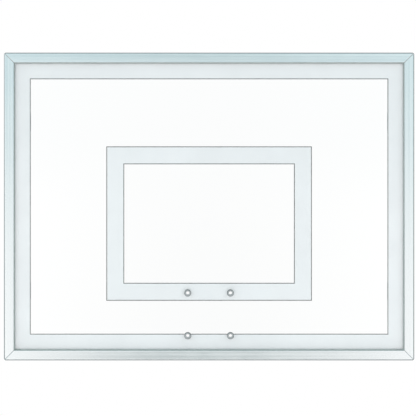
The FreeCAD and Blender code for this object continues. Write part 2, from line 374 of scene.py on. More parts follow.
class Nodes:
    """Adds nodes to one tree, with their settings and links."""

    range_inputs = ("Value", "From Min", "From Max", "To Min", "To Max")
    # Numbers of the Mix node's sockets for colours
    colour_inputs = (6, 7)
    colour_output = 2

    def __init__(self, tree: NodeTree) -> None:
        """Starts on an empty tree."""
        self.tree = tree
        tree.nodes.clear()

    def feed(self, node: Node, inputs: Inputs) -> None:
        """Sets or links inputs of a node.

        Args:
            node: Node whose inputs are set.
            inputs: Values or sockets by input name or number.
        """
        for key, value in inputs.items():
            if isinstance(value, Socket):
                self.tree.links.new(value, node.inputs[key])
            else:
                node.inputs[key].default_value = value

    def add(self, kind: str, inputs: Inputs | None = None, **settings: object) -> Node:
        """Adds one node.

        Args:
            kind: Node type without its ShaderNode prefix.
            inputs: Values or sockets by input name or number.
            settings: Properties of the node.

        Returns:
            The node.
        """
        node = self.tree.nodes.new(f"ShaderNode{kind}")
        for key, value in settings.items():
            setattr(node, key, value)
        self.feed(node, inputs or {})
        return node

    def math(self, operation: str, first: object, second: object) -> Socket:
        """Result of one sum on values or sockets."""
        return self.add("Math", {0: first, 1: second}, operation=operation).outputs[0]

    def blend(self, first: Socket, second: Socket, share: float) -> Socket:
        """Share of the first value and the rest of the second, added up."""
        rest = self.math("MULTIPLY", second, 1 - share)
        return self.math("ADD", self.math("MULTIPLY", first, share), rest)

    def vector(self, operation: str, first: object, second: object) -> Socket:
        """Result of one sum on vectors."""
        return self.add("VectorMath", {0: first, 1: second}, operation=operation).outputs["Vector"]

    def length(self, vector: Socket) -> Socket:
        """Length of a vector."""
        return self.add("VectorMath", {0: vector}, operation="LENGTH").outputs["Value"]

    def span(self, value: Socket, source: Span, target: Span = FULL_RANGE) -> Socket:
        """Value mapped smoothly from one range to another, held at its ends."""
        inputs = dict(zip(self.range_inputs, (value, *source, *target)))
        return self.add("MapRange", inputs, interpolation_type="SMOOTHSTEP").outputs["Result"]

    def mix(self, factor: object, *colours: Socket | Colour) -> Socket:
        """Mixes two colours.

        Args:
            factor: Share of the second colour.
            colours: Values or sockets of both colours.

        Returns:
            The mixed colour.
        """
        values = [colour if isinstance(colour, Socket) else (*colour, 1.0) for colour in colours]
        inputs = {"Factor": factor, **dict(zip(self.colour_inputs, values))}
        return self.add("Mix", inputs, data_type="RGBA").outputs[self.colour_output]

    def noise(self, vector: Socket, scale: object, detail: float = 2.0, roughness: float = 0.5) -> Socket:
        """Value of a noise pattern."""
        inputs = {"Vector": vector, "Scale": scale, "Detail": detail, "Roughness": roughness}
        return self.add("TexNoise", inputs).outputs["Fac"]

    def bump(self, height: Socket, strength: float) -> Socket:
        """Normal of a surface with fine relief."""
        inputs = {"Strength": strength, "Distance": BUMP_DISTANCE, "Height": height}
        return self.add("Bump", inputs).outputs["Normal"]


def effect_tree(name: str, inputs: dict[str, str], outputs: Sequence[str]) -> tuple[Nodes, Node, Node]:
    """Starts a shared effect.

    Args:
        name: Name of the node group.
        inputs: Socket type by input name.
        outputs: Names of the value outputs.

    Returns:
        The node helper, the group's input node and its output node.
    """
    tree = bpy.data.node_groups.new(name, "ShaderNodeTree")
    nodes = Nodes(tree)
    for label, kind in inputs.items():
        tree.interface.new_socket(label, in_out="INPUT", socket_type=kind)
    for label in outputs:
        tree.interface.new_socket(label, in_out="OUTPUT", socket_type="NodeSocketFloat")
    return nodes, tree.nodes.new("NodeGroupInput"), tree.nodes.new("NodeGroupOutput")


@cache
def grain_effect() -> NodeTree:
    """Makes fine lines and broad streaks along the U of a map, shared by all metals.

    Returns:
        The node group, which is made once.
    """
    kinds = {"Map": "NodeSocketVector", "Lines": "NodeSocketFloat", "Stretch": "NodeSocketFloat"}
    nodes, given, result = effect_tree("metal_grain", kinds, ("Tone", "Height"))
    along = nodes.math("DIVIDE", given.outputs["Lines"], given.outputs["Stretch"])
    scale = nodes.add("CombineXYZ", {"X": along, "Y": given.outputs["Lines"], "Z": 1.0}).outputs["Vector"]
    stretched = nodes.vector("MULTIPLY", given.outputs["Map"], scale)
    lines = nodes.span(nodes.noise(stretched, 1.0, detail=3.0, roughness=0.6), NOISE_RANGE)
    streaks = nodes.span(nodes.noise(stretched, STREAK_SCALE), NOISE_RANGE)
    nodes.feed(result, {"Tone": nodes.blend(lines, streaks, LINE_SHARE), "Height": lines})
    return nodes.tree


@cache
def mottle_effect() -> NodeTree:
    """Makes cloudy marks and fine grit in Object space, shared by metal, glass, rubber and enamel.

    Returns:
        The node group, which is made once.
    """
    kinds = {"Place": "NodeSocketVector", "Cloud": "NodeSocketFloat", "Grit": "NodeSocketFloat"}
    nodes, given, result = effect_tree("mottle", kinds, ("Cloud", "Grit"))
    for label, detail in (("Cloud", 4.0), ("Grit", 2.0)):
        pattern = nodes.noise(given.outputs["Place"], given.outputs[label], detail)
        nodes.feed(result, {label: nodes.span(pattern, NOISE_RANGE)})
    return nodes.tree


# Finishes


@dataclass(frozen=True)
class Finish:
    """Base of every finish: makes its material once and hands it out again."""

    name: str

    @cache
    def material(self) -> Material:
        """Makes the material of this finish.

        Returns:
            The material, which is made once.
        """
        made = bpy.data.materials.new(self.name)
        made.use_nodes = True
        nodes = Nodes(made.node_tree)
        nodes.add("OutputMaterial", self.paint(nodes, nodes.add("BsdfPrincipled")))
        return made

    def paint(self, nodes: Nodes, shader: Node) -> Inputs:
        """Sets the shader and gives what goes into the material's output."""
        raise NotImplementedError


@dataclass(frozen=True)
class GrainedMetal(Finish):
    """Metal with the fine marks of drawing, rolling or turning, and cloudy handling marks."""

    dark: Colour
    light: Colour
    roughness: Span
    lines: float = 2600.0
    stretch: float = 160.0
    bump: float = 0.02
    cloud: float = 14.0
    grain_share: float = 0.85
    mapped: bool = True
    painted_seam_shade: float = 0.0

    def paint(self, nodes: Nodes, shader: Node) -> Inputs:
        """Sets the shader of the metal.

        Args:
            nodes: Helper on the material's tree.
            shader: Principled shader of the material.

        Returns:
            What goes into the material's output.
        """
        place = nodes.add("TexCoord").outputs["Object"]
        lay = nodes.add("UVMap", uv_map=LAY_MAP).outputs["UV"] if self.mapped else place
        inputs = {"Map": lay, "Lines": self.lines, "Stretch": self.stretch}
        grain = nodes.add("Group", inputs, node_tree=grain_effect())
        marks = nodes.add("Group", {"Place": place, "Cloud": self.cloud}, node_tree=mottle_effect())
        tone = nodes.blend(grain.outputs["Tone"], marks.outputs["Cloud"], self.grain_share)
        colour = nodes.mix(tone, self.dark, self.light)
        # Painted shade at the mitre seams: the colour darkens towards the cut edges
        if self.painted_seam_shade:
            seam = nodes.add("Attribute", attribute_name=SEAM_MASK).outputs["Fac"]
            colour = nodes.mix(nodes.math("MULTIPLY", seam, self.painted_seam_shade), colour, SEAM_SHADE_COLOUR)
        nodes.feed(shader, {
            "Base Color": colour,
            "Roughness": nodes.span(tone, TONE_RANGE, self.roughness),
            "Normal": nodes.bump(grain.outputs["Height"], self.bump),
            "Metallic": 1.0,
        })
        return {"Surface": shader.outputs["BSDF"]}


@dataclass(frozen=True)
class ClearGlass(Finish):
    """Clear plate glass with a faint green body and wiped-on haze."""

    body: Colour = (1.0, 1.0, 1.0)
    absorbed: Colour = (0.55, 0.9, 0.8)
    density: float = 1.2
    ior: float = 1.52
    cloud: float = 6.0
    hazy_clouds: Span = (0.3, 1.0)
    haze: Span = (0.0, 0.012)

    def paint(self, nodes: Nodes, shader: Node) -> Inputs:
        """Sets the shader of the glass, which light rays pass as if it were clear air.

        Args:
            nodes: Helper on the material's tree.
            shader: Principled shader of the material.

        Returns:
            What goes into the material's output.
        """
        place = nodes.add("TexCoord").outputs["Object"]
        marks = nodes.add("Group", {"Place": place, "Cloud": self.cloud}, node_tree=mottle_effect())
        nodes.feed(shader, {
            "Base Color": (*self.body, 1.0),
            "Roughness": nodes.span(marks.outputs["Cloud"], self.hazy_clouds, self.haze),
            "Transmission Weight": 1.0,
            "IOR": self.ior,
        })
        volume = nodes.add("VolumeAbsorption", {"Color": (*self.absorbed, 1.0), "Density": self.density})
        path = nodes.add("LightPath").outputs
        lit = nodes.math("MAXIMUM", path["Is Shadow Ray"], path["Is Diffuse Ray"])
        clear = nodes.add("BsdfTransparent")
        both = nodes.add("MixShader", {0: lit, 1: shader.outputs["BSDF"], 2: clear.outputs["BSDF"]})
        return {"Surface": both.outputs["Shader"], "Volume": volume.outputs["Volume"]}


@dataclass(frozen=True)
class Matt(Finish):
    """Matt or satin surface with cloudy tone and fine grit, as on rubber and fired enamel."""

    dark: Colour
    light: Colour
    roughness: Span
    cloud: float
    grit: float
    bump: float
    cloud_share: float = 0.6
    shine: float = 0.5

    def paint(self, nodes: Nodes, shader: Node) -> Inputs:
        """Sets the shader of the surface.

        Args:
            nodes: Helper on the material's tree.
            shader: Principled shader of the material.

        Returns:
            What goes into the material's output.
        """
        place = nodes.add("TexCoord").outputs["Object"]
        inputs = {"Place": place, "Cloud": self.cloud, "Grit": self.grit}
        marks = nodes.add("Group", inputs, node_tree=mottle_effect()).outputs
        tone = nodes.blend(marks["Cloud"], marks["Grit"], self.cloud_share)
        nodes.feed(shader, {
            "Base Color": nodes.mix(tone, self.dark, self.light),
            "Roughness": nodes.span(marks["Grit"], FULL_RANGE, self.roughness),
            "Normal": nodes.bump(marks["Grit"], self.bump),
            "Specular IOR Level": self.shine,
        })
        return {"Surface": shader.outputs["BSDF"]}


# The rails get painted shade along their mitre seams
RAIL_FINISH = GrainedMetal("satin_anodised_aluminium", (0.80, 0.84, 0.85), (0.92, 0.95, 0.95),
                           (0.19, 0.25), bump=0.01, painted_seam_shade=0.4)
KEY_FINISH = GrainedMetal("mill_aluminium", (0.62, 0.63, 0.64), (0.76, 0.77, 0.78), (0.35, 0.5),
                          mapped=False)
SCREW_FINISH = GrainedMetal("turned_zinc_steel", (0.36, 0.38, 0.39), (0.54, 0.56, 0.57), (0.28, 0.42),
                            lines=6000.0, bump=0.05, cloud=220.0)
PLATE_FINISH = GrainedMetal("zinc_plate_steel", (0.46, 0.48, 0.50), (0.66, 0.68, 0.70), (0.32, 0.5),
                            lines=1800.0, stretch=30.0, bump=0.03, cloud=90.0)
SLEEVE_FINISH = GrainedMetal("bright_zinc_steel", (0.39, 0.415, 0.42), (0.58, 0.605, 0.61), (0.26, 0.38),
                             lines=6000.0, bump=0.05, cloud=220.0)
NUT_FINISH = GrainedMetal("plain_zinc_steel", (0.46, 0.48, 0.50), (0.62, 0.64, 0.66), (0.36, 0.5),
                          mapped=False)
GLASS_FINISH = ClearGlass("clear_plate_glass")
WHITE_FINISH = Matt("fired_white", (0.80, 0.80, 0.81), (0.85, 0.85, 0.86), (0.32, 0.42),
                    cloud=9.0, grit=2200.0, bump=0.02, shine=0.25)
# Dark grey of the keylines: painted shade along the edges of the white enamel
EDGE_SHADE_FINISH = Matt("painted_edge_shade_grey", (0.08, 0.085, 0.085), (0.12, 0.125, 0.125), (0.45, 0.55),
                   cloud=30.0, grit=2200.0, bump=0.02, shine=0.1)
GASKET_FINISH = Matt("glazing_rubber", (0.31, 0.37, 0.35), (0.39, 0.45, 0.43), (0.55, 0.75),
                     cloud=60.0, grit=3000.0, bump=0.08)
WASHER_FINISH = Matt("soft_rubber", (0.14, 0.15, 0.15), (0.21, 0.22, 0.22), (0.6, 0.8),
                     cloud=200.0, grit=4000.0, bump=0.1)


# Sub-assemblies


@dataclass
class SubAssembly:
    """Base of the board's sub-assemblies: keeps each piece with the finish that it gets."""

    made: list[tuple[Object, Finish]] = field(default_factory=list, init=False)

    def keep(self, bm: BMesh, name: str, node: str, slot: str, finish: Finish) -> None:
        """Makes a mesh a piece that rides on the board and stands for a CAD node.

        Args:
            bm: Finished mesh, freed here.
            name: Name of the piece.
            node: CAD node that the piece stands for.
            slot: Material slot of the record; not used.
            finish: Finish that the piece gets.
        """
        for face in bm.faces:
            face.smooth = True
        for edge in bm.edges:
            edge.smooth = edge.is_manifold and edge.calc_face_angle(0) < SHARP_ANGLE
        piece = place_mesh(bm, name)
        weights = piece.modifiers.new("even_faces", "WEIGHTED_NORMAL")
        weights.keep_sharp = True
        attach(piece, ROOT)
        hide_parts(node)
        self.made.append((piece, finish))

    def build(self) -> None:
        """Makes the pieces."""
        raise NotImplementedError

    def dress(self) -> None:
        """Gives each piece its finish."""
        for piece, finish in self.made:
            piece.data.materials.clear()
            piece.data.materials.append(finish.material())


@dataclass
class SideRing:
    """Frame-like ring round the board, cut at its corners into four mitred lengths.

    The gap lies between two lengths at a mitre. The edge of each falls away there by the dip, over the
    width of the chamfer.
    """

    gap: float
    corner_radius: float = 0.0
    chamfer: float = 0.0
    dip: float = 0.0
    spread: float = 0.01

    def sweep(self, bm: BMesh, outline: Outline) -> None:
        """Sweeps a closed section of (inset, y) points round the board.

        The loops are bridged spread out along Y, because loops in one plane can come out twisted.

        Args:
            bm: Mesh that gets the ring.
            outline: Points of the section, in order.
        """
        half_x, half_z = board_half()
        loops = []
        for index, (inset, _) in enumerate(outline):
            radius = max(self.corner_radius - inset, HAIRLINE_RADIUS)
            loops.append(upright_loop(bm, half_x - inset, half_z - inset, index * self.spread, radius))
        bridge(bm, [*loops, loops[0]])
        for loop, (_, y) in zip(loops, outline):
            for vert in {vert for edge in loop for vert in edge.verts}:
                vert.co.y = y

    def mitre(self, ring: BMesh, side: Side) -> BMesh:
        """Cuts one side out of a ring.

        Args:
            ring: Whole ring, left as it is.
            side: Side to keep.

        Returns:
            The mitred length, closed at its ends.
        """
        half_x, half_z = board_half()
        bm = ring.copy()
        for sign in (-1, 1):
            end = side.along * sign
            reach = side.outward + end
            corner = Vector((reach.x * half_x, 0, reach.z * half_z))
            normal = (end - side.outward).normalized()
            cuts = [self.gap / 2 + self.chamfer, self.gap / 2] if self.chamfer else [self.gap / 2]
            for distance in cuts:
                bmesh.ops.bisect_plane(bm, geom=bm.verts[:] + bm.edges[:] + bm.faces[:],
                                       dist=CUT_DISTANCE, plane_co=corner - normal * distance,
                                       plane_no=normal, clear_outer=distance == cuts[-1])
        bmesh.ops.remove_doubles(bm, verts=bm.verts[:], dist=MERGE_DISTANCE)
        turn_outwards(bm)
        bm.normal_update()
        open_edges = [edge for edge in bm.edges if edge.is_boundary]
        # Marks the cut edges, where the rail finish paints shade along the seam
        seam = bm.verts.layers.float.new(SEAM_MASK)
        for vert in {vert for edge in open_edges for vert in edge.verts}:
            vert.co -= vert.normal * self.dip
            vert[seam] = 1.0
        for sign in (-1, 1):
            fill(bm, [edge for edge in open_edges
                      if edge.is_valid and edge.verts[0].co.dot(side.along) * sign > 0])
        turn_outwards(bm)
        return bm

    def lengths(self, *profiles: Profile) -> list[tuple[Side, BMesh]]:
        """Makes the four mitred lengths.

        Args:
            profiles: Closed sections of the ring, as (inset, y, radius).

        Returns:
            Each side with its length.
        """
        whole = bmesh.new()
        for profile in profiles:
            self.sweep(whole, section_outline(profile))
        lengths = [(side, self.mitre(whole, side)) for side in Side]
        whole.free()
        return lengths


@dataclass
class RailFrame(SubAssembly):
    """Four mitred rails of one extrusion, with corner keys in their chambers."""

    nodes: dict[str, Object]
    wall: float = 0.003
    corner_radius: float = 0.006
    front_radius: float = 0.004
    rear_radius: float = 0.001
    lip_bevel_width: float = 0.001
    lip_bevel_depth: float = 0.0005
    edge_radius: float = 0.0004
    inner_edge_radius: float = 0.0002
    mitre_gap: float = 0.0004
    mitre_chamfer: float = 0.0012
    mitre_dip: float = 0.0005

    def sections(self) -> tuple[Profile, Profile]:
        """Works out the outer section and the chamber of the extrusion, as (inset, y, radius).

        Returns:
            The corners of both sections, in order.
        """
        rail, gasket = Box.of("left_rail"), Box.of("left_gasket")
        face, front, rear = rail.size.x, rail.low.y, rail.high.y
        lip, channel = gasket.low.y, gasket.high.y
        outer = [
            (0, front, self.front_radius),
            (face - self.lip_bevel_width, front, self.edge_radius),
            (face, front + self.lip_bevel_depth, self.edge_radius),
            (face, lip, self.inner_edge_radius),
            (self.wall, lip, 0),
            (self.wall, channel, 0),
            (face, channel, self.inner_edge_radius),
            (face, rear, self.rear_radius),
            (0, rear, self.rear_radius),
        ]
        near, far = self.wall, face - self.wall
        chamber = [(near, channel + self.wall, 0), (far, channel + self.wall, 0),
                   (far, rear - self.wall, 0), (near, rear - self.wall, 0)]
        return outer, chamber

    def build(self) -> None:
        """Makes the four rails and takes over the hidden corner keys."""
        ring = SideRing(self.mitre_gap, self.corner_radius, self.mitre_chamfer, self.mitre_dip)
        for side, bm in ring.lengths(*self.sections()):
            lay_grain(bm, Lay.DRAWN_LEVEL if side.along.x else Lay.DRAWN_UPRIGHT)
            node = f"{side.label}_rail"
            self.keep(bm, f"{node}_extrusion", node, "frame_aluminium", RAIL_FINISH)
        self.made += [(self.nodes[f"corner_key_{place.corner}"], KEY_FINISH) for place in Place]


@dataclass
class Glazing(SubAssembly):
    """Glass pane in its rubber gasket."""

    sleeve_radius: float
    gasket_leg: float = 0.0025
    gasket_base: float = 0.004
    gasket_clearance: float = 0.00005
    tip_radius: float = 0.0012
    inner_tip_radius: float = 0.0003
    gasket_gap: float = 0.00005
    pane_corner_radius: float = 0.004
    pane_arris: float = 0.0008
    arris_steps: int = 2
    hole_clearance: float = 0.0006

    def build_gaskets(self) -> None:
        """Makes the four lengths of the gasket."""
        rail, gasket, pane = Box.of("left_rail"), Box.of("left_gasket"), Box.of("glass_pane")
        wall, tip = gasket.low.x - rail.low.x, gasket.high.x - rail.low.x
        base = wall + self.gasket_base - self.gasket_clearance
        glass_front = pane.low.y - self.gasket_clearance
        film_rear = gasket.high.y - self.gasket_leg + self.gasket_clearance
        profile = [
            (wall, gasket.low.y, 0),
            (tip, gasket.low.y, self.tip_radius),
            (tip, glass_front, self.inner_tip_radius),
            (base, glass_front, 0),
            (base, film_rear, 0),
            (tip, film_rear, self.inner_tip_radius),
            (tip, gasket.high.y, self.tip_radius),
            (wall, gasket.high.y, 0),
        ]
        for side, bm in SideRing(self.gasket_gap).lengths(profile):
            node = f"{side.label}_gasket"
            self.keep(bm, f"{node}_strip", node, "gasket_rubber", GASKET_FINISH)

    def build_pane(self) -> None:
        """Makes the pane with its rim holes."""
        pane = Box.of("glass_pane")
        bm = bmesh.new()
        edges = upright_loop(bm, pane.size.x / 2, pane.size.z / 2, pane.low.y, self.pane_corner_radius)
        for place in Place:
            middle = Box.of(f"rim_sleeve_{place.label}").middle
            edges += upright_circle(bm, self.sleeve_radius + self.hole_clearance, middle, pane.low.y)
        fill(bm, edges)
        thicken(bm, pane.size.y)
        round_over(bm, sharp_edges(bm), self.pane_arris, self.arris_steps, "EDGES")
        self.keep(bm, "pane_plate", "glass_pane", "clear_glass", GLASS_FINISH)

    def build(self) -> None:
        """Makes the gasket and the pane."""
        self.build_gaskets()
        self.build_pane()


@dataclass
class Markings(SubAssembly):
    """White stripes fired on the rear of the pane, and dark grey keylines along their edges that are
    painted shade.
    """

    air: float = 0.00006
    hole_clearance: float = 0.0002

    def step(self, outer: str, inner: str) -> float:
        """Distance from the outline of one node in to that of the next."""
        return (Box.of(outer).size.x - Box.of(inner).size.x) / 2

    def film(self, node: str, band: float) -> BMesh:
        """Makes one rectangular band behind the glass.

        Args:
            node: CAD node with the band's outer size.
            band: Width of the band.

        Returns:
            The band as a closed thin plate.
        """
        box = Box.of(node)
        half, front = box.size / 2, box.low.y + self.air
        bm = bmesh.new()
        edges = upright_loop(bm, half.x, half.z, front, middle=box.middle)
        edges += upright_loop(bm, half.x - band, half.z - band, front, middle=box.middle)
        fill(bm, edges)
        thicken(bm, box.high.y - front)
        return bm

    def clear_holes(self) -> None:
        """Cuts the films back round the rim washers for good, with a tool of four discs."""
        bm = bmesh.new()
        for place in Place:
            washer = Box.of(f"rim_rear_washer_{place.label}")
            radius = washer.size.x / 2 + self.hole_clearance
            front, rear = washer.low.y - washer.size.y, washer.high.y
            disc = [(0, front, 0), (radius, front, 0), (radius, rear, 0), (0, rear, 0)]
            turn(bm, disc, washer.middle)
        tool = place_mesh(bm, "film_cutter")
        for piece, _ in self.made:
            cut = piece.modifiers.new("rim_holes", "BOOLEAN")
            cut.operation = "DIFFERENCE"
            cut.object = tool
            cut.solver = "EXACT"
            shaped = piece.evaluated_get(bpy.context.evaluated_depsgraph_get())
            mesh = bpy.data.meshes.new_from_object(shaped)
            piece.modifiers.remove(cut)
            mesh.name = piece.name
            piece.data = mesh
        bpy.data.objects.remove(tool)

    def build(self) -> None:
        """Makes the five films."""
        stripes = {"border_stripe": "border_keyline", "target_stripe": "target_keyline_inner"}
        for node, edging in stripes.items():
            film = self.film(node, self.step(node, edging))
            self.keep(film, f"{node}_enamel", node, "white_enamel", WHITE_FINISH)
        keyline = self.step("target_keyline_outer", "target_stripe")
        # The keyline films are painted shade along the edges of the white stripes
        for node in ("border_keyline", "target_keyline_outer", "target_keyline_inner"):
            film = self.film(node, keyline)
            self.keep(film, f"{node}_enamel", node, "grey_enamel", EDGE_SHADE_FINISH)
        self.clear_holes()


@dataclass
class RimSleeves(SubAssembly):
    """Sleeve, collar and rubber washers in each rim bolt hole."""

    bore_radius: float = 0.005
    sleeve_radius: float = 0.0068
    flange_thickness: float = 0.002
    flange_edge: float = 0.0006
    bore_edge: float = 0.0004
    washer_edge: float = 0.0005
    collar_edge: float = 0.0008
    fit: float = 0.00005

    def sleeve_profile(self, box: Box) -> Profile:
        """Works out the section of a flanged sleeve.

        Args:
            box: Box of the sleeve.

        Returns:
            Its corners, in order.
        """
        flange, rear = box.size.x / 2, box.low.y + self.flange_thickness
        return [
            (self.bore_radius, box.low.y, self.bore_edge),
            (flange, box.low.y, self.flange_edge),
            (flange, rear, 0),
            (self.sleeve_radius, rear, 0),
            (self.sleeve_radius, box.high.y, self.bore_edge),
            (self.bore_radius, box.high.y, self.bore_edge),
        ]

    def ring_profile(self, box: Box, front_edge: float, rear_edge: float) -> Profile:
        """Works out the section of a washer or collar that fits round a sleeve.

        Args:
            box: Box of the washer or collar.
            front_edge: Radius of its front edge.
            rear_edge: Radius of its rear edge.

        Returns:
            Its corners, in order.
        """
        bore, radius = self.sleeve_radius + self.fit, box.size.x / 2
        front, rear = box.low.y + self.fit, box.high.y - self.fit
        return [(bore, front, 0), (radius, front, front_edge), (radius, rear, rear_edge), (bore, rear, 0)]

    def turned(self, node: str, profile: Profile, slot: str, finish: Finish) -> None:
        """Makes one turned piece in place of a CAD node.

        Args:
            node: CAD node that the piece stands for.
            profile: Section of the piece.
            slot: Material slot of the record.
            finish: Finish that the piece gets.
        """
        middle = Box.of(node).middle
        bm = bmesh.new()
        turn(bm, profile, middle)
        lay_grain(bm, Lay.TURNED, middle)
        self.keep(bm, f"{node}_turned", node, slot, finish)

    def build(self) -> None:
        """Makes the pieces of all four holes."""
        for place in Place:
            sleeve, collar = f"rim_sleeve_{place.label}", f"rim_collar_{place.label}"
            self.turned(sleeve, self.sleeve_profile(Box.of(sleeve)), "sleeve_steel", SLEEVE_FINISH)
            profile = self.ring_profile(Box.of(collar), 0, self.collar_edge)
            self.turned(collar, profile, "sleeve_steel", SLEEVE_FINISH)
            for face in ("front", "rear"):
                washer = f"rim_{face}_washer_{place.label}"
                profile = self.ring_profile(Box.of(washer), self.washer_edge, self.washer_edge)
                self.turned(washer, profile, "washer_rubber", WASHER_FINISH)


@dataclass(frozen=True)
class SocketScrew:
    """Screw with a six-sided key socket in its head, which faces the back of the board."""

    across_flats: float
    socket_depth: float
    steps: int = 48

    def build(self, places: Iterable[Vector], head: Outline, tip: float, shank: float) -> BMesh:
        """Makes like screws as one mesh.

        Args:
            places: Points on the screws' axes, of which X and Z count.
            head: Points (radius, y) of a head from its crown to the shank.
            tip: Place of the tips along Y.
            shank: Radius of a shank.

        Returns:
            The mesh.
        """
        crown, seat = head[0][1], head[-1][1]
        corner = self.across_flats / math.sqrt(3)
        depths = (crown, crown - self.socket_depth)
        bm = bmesh.new()
        for middle in places:
            loops = [upright_circle(bm, radius, middle, y, self.steps) for radius, y in head]
            neck, end = (upright_circle(bm, shank, middle, y, self.steps) for y in (seat, tip))
            rim, floor = (upright_circle(bm, corner, middle, y, KEY_SIDES) for y in depths)
            for row in (loops, (neck, end), (rim, floor)):
                bridge(bm, row)
            for flat in (loops[0] + rim, loops[-1] + neck, floor, end):
                fill(bm, flat)
        turn_outwards(bm)
        lay_grain(bm, Lay.DRAWN_LEVEL)
        return bm


@dataclass
class CornerScrews(SubAssembly):
    """Button-head screws that hold the corner keys from the back."""

    screw: SocketScrew = SocketScrew(across_flats=0.004, socket_depth=0.0018)
    head_radius: float = 0.00525
    crown_radius: float = 0.0031
    edge_height: float = 0.0008
    head_height: float = 0.0033
    shank_radius: float = 0.003
    first_inset: float = 0.045
    pitch: float = 0.035
    dome_steps: int = 8

    def dome(self, seat: float) -> Outline:
        """Works out the domed head.

        Args:
            seat: Place of the head's underside along Y.

        Returns:
            Points (radius, y) of the head, from its crown to its seat.
        """
        rise = self.head_height - self.edge_height
        points = []
        for step in range(self.dome_steps + 1):
            angle = math.pi / 2 * step / self.dome_steps
            radius = self.crown_radius + (self.head_radius - self.crown_radius) * math.sin(angle)
            points.append((radius, seat + self.edge_height + rise * math.cos(angle)))
        return points + [(self.head_radius, seat)]

    def places(self, place: Place) -> list[Vector]:
        """Works out where the four screws of one corner are.

        Args:
            place: The corner.

        Returns:
            Middles of the screws.
        """
        half_x, half_z = board_half()
        line = Box.of("left_rail").size.x / 2
        near, far = self.first_inset, self.first_inset + self.pitch
        insets = ((near, line), (line, near), (far, line), (line, far))
        return [Vector((place.column_sign * (half_x - inset_x), 0, place.row_sign * (half_z - inset_z)))
                for inset_x, inset_z in insets]

    def build(self) -> None:
        """Makes the screws of the four corners."""
        seat = Box.of("left_rail").high.y
        for place in Place:
            node = f"corner_screws_{place.corner}"
            tip = Box.of(node).low.y
            bm = self.screw.build(self.places(place), self.dome(seat), tip, self.shank_radius)
            self.keep(bm, f"{node}_heads", node, "screw_steel", SCREW_FINISH)


@dataclass
class SupportLugs(SubAssembly):
    """Slotted plates on the back of the side rails, with their screws and tapped plates."""

    nodes: dict[str, Object]
    screw: SocketScrew = SocketScrew(across_flats=0.005, socket_depth=0.0028)
    corner_radius: float = 0.008
    edge: float = 0.0006
    edge_steps: int = 3
    slot_inset: float = 0.0508
    slot_length: float = 0.024
    slot_width: float = 0.011
    slot_steps: int = 12
    screw_pitch: float = 0.04
    seat_radius: float = 0.00815
    hole_radius: float = 0.0043
    head_radius: float = 0.008
    head_edge: float = 0.0003
    shank_radius: float = 0.004
    recess: float = 0.0003

    def screw_places(self, place: Place, lug: Box) -> list[Vector]:
        """Middles of the two screws of one lug."""
        x = place.column_sign * (board_half()[0] - Box.of("left_rail").size.x / 2)
        return [Vector((x, 0, lug.middle.z + sign * self.screw_pitch / 2)) for sign in (-1, 1)]

    def plate(self, place: Place) -> None:
        """Makes one plate with its slot and countersinks.

        Args:
            place: Place of the lug.
        """
        node = f"support_lug_{place.label}"
        box = Box.of(node)
        half, levels = box.size / 2, (box.low.y, box.high.y)
        slot = Vector((place.column_sign * (board_half()[0] - self.slot_inset), 0, box.middle.z))
        slot_x, slot_z = self.slot_length / 2, self.slot_width / 2
        rim = box.high.y - self.recess
        shoulder = rim - (self.seat_radius - self.hole_radius)
        screw_hole = [(self.hole_radius, box.low.y), (self.hole_radius, shoulder),
                      (self.seat_radius, rim), (self.seat_radius, box.high.y)]
        bm = bmesh.new()
        outlines = [upright_loop(bm, half.x, half.z, y, self.corner_radius, middle=box.middle)
                    for y in levels]
        holes = [upright_loop(bm, slot_x, slot_z, y, slot_z - HAIRLINE_SLACK, self.slot_steps, slot)
                 for y in levels]
        bridge(bm, outlines)
        bridge(bm, holes)
        for middle in self.screw_places(place, box):
            loops = [upright_circle(bm, radius, middle, y, self.screw.steps) for radius, y in screw_hole]
            bridge(bm, loops)
            holes[0] += loops[0]
            holes[1] += loops[-1]
        for outline, hole in zip(outlines, holes):
            fill(bm, outline + hole)
        turn_outwards(bm)
        round_over(bm, outlines[0] + outlines[1], self.edge, self.edge_steps, "EDGES")
        lay_grain(bm, Lay.DRAWN_LEVEL)
        self.keep(bm, f"{node}_plate", node, "lug_steel", PLATE_FINISH)

    def screw_pair(self, place: Place) -> None:
        """Makes the two countersunk screws of one lug.

        Args:
            place: Place of the lug.
        """
        node = f"lug_screws_{place.label}"
        box, lug = Box.of(node), Box.of(f"support_lug_{place.label}")
        crown, rim = box.high.y, box.high.y - self.head_edge
        head = [(self.head_radius - self.head_edge, crown), (self.head_radius, rim),
                (self.shank_radius, rim - (self.head_radius - self.shank_radius))]
        shank = self.shank_radius - HAIRLINE_SLACK
        bm = self.screw.build(self.screw_places(place, lug), head, box.low.y, shank)
        self.keep(bm, f"{node}_heads", node, "screw_steel", SCREW_FINISH)

    def build(self) -> None:
        """Makes the plates and screws of the four lugs and takes over the hidden tapped plates."""
        for place in Place:
            self.plate(place)
            self.screw_pair(place)
        self.made += [(self.nodes[f"nut_plate_{place.label}"], NUT_FINISH) for place in Place]


# Studio


@dataclass(frozen=True)
class StudioSpot:
    """Direction in the studio, in degrees, with azimuth 0 in front of the board and 90 to its right."""

    azimuth: float
    elevation: float

    @property
    def direction(self) -> Vector:
        """Direction from the board, of length 1."""
        turned, raised = math.radians(self.azimuth), math.radians(self.elevation)
        return Vector((math.sin(turned) * math.cos(raised), -math.cos(turned) * math.cos(raised),
                       math.sin(raised)))


@dataclass(frozen=True)
class SoftLamp(StudioSpot):
    """Broad far lamp that lights matt surfaces and doesn't show in metal or through glass.

    Its spread is in degrees, and its share is of the light that a white surface needs to look white.
    """

    spread: float
    share: float
    name: str

    def build(self) -> None:
        """Makes the lamp."""
        data = bpy.data.lights.new(self.name, "SUN")
        data.energy = math.pi * self.share
        data.angle = math.radians(self.spread)
        lamp = bpy.data.objects.new(self.name, data)
        lamp.rotation_euler = self.direction.to_track_quat("Z", "Y").to_euler()
        lamp.visible_camera = lamp.visible_glossy = lamp.visible_transmission = False
        bpy.context.scene.collection.objects.link(lamp)


